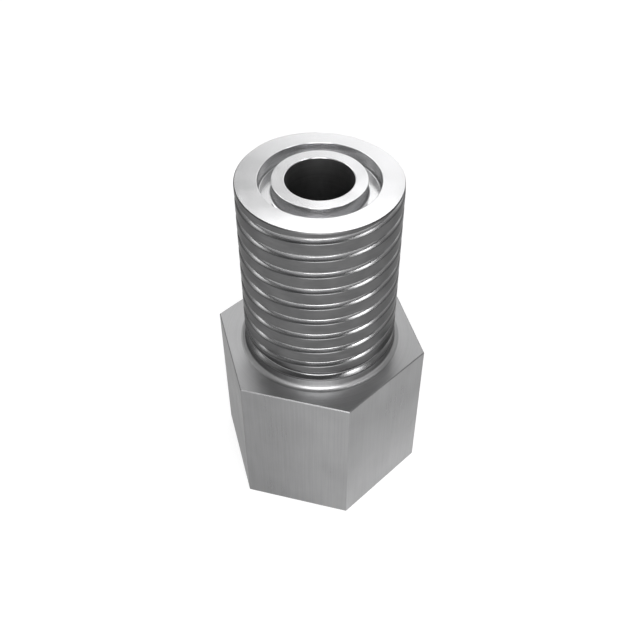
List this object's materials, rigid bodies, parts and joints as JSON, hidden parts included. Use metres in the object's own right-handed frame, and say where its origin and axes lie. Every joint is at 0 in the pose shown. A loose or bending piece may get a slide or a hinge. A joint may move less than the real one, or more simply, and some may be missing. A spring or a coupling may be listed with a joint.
{
  "type": "o-ring adapter fitting",
  "caption": "Straight hydraulic adapter: a long face-seal male end with an outside thread, a hexagon body with a threaded O-ring port below, and a straight bore through both.",
  "frame": {"origin": "on the fitting's axis, in the plane of the hexagon's lower face, which the fitting stands on", "axes": "+Z runs along the axis from the port end to the male end, and +X points through a corner of the hexagon"},
  "size_m": [0.0366, 0.0318, 0.0611],
  "materials": {
    "steel": "turned steel, satin on the faces and darker in the thread"
  },
  "bodies": {
    "root": {"adapter_body": "steel"}
  },
  "joints": []
}
